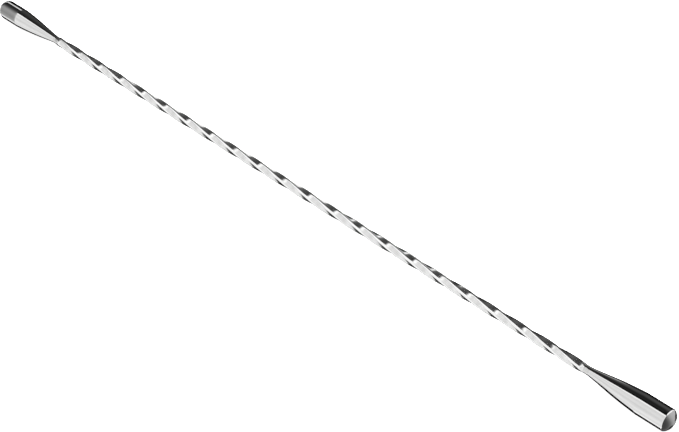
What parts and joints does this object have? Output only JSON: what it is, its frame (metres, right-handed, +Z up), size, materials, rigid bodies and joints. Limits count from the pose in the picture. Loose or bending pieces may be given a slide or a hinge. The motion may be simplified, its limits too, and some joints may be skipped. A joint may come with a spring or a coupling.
{
  "type": "double-ended bar stirrer",
  "caption": "Double-ended bar stirrer: a long twisted square steel bar with a solid turned, tapering weight welded on each end.",
  "frame": {"origin": "under the middle of the stirrer's length, on the surface that the larger weight rests on", "axes": "+X along the bar towards the larger weight, +Z up, +Y across the bar"},
  "size_m": [0.44, 0.011, 0.011],
  "materials": {
    "shaft_steel": "polished stainless steel, bright, with faint draw marks along the bar",
    "weight_steel": "polished stainless steel, bright, with faint lengthwise buffing marks",
    "weld_steel": "ground and hand-dressed stainless weld metal, slightly duller than the rest"
  },
  "bodies": {
    "root": {"twisted_shaft": "shaft_steel", "large_end_weight": "weight_steel", "small_end_weight": "weight_steel", "large_end_weld": "weld_steel", "small_end_weld": "weld_steel"}
  },
  "joints": []
}
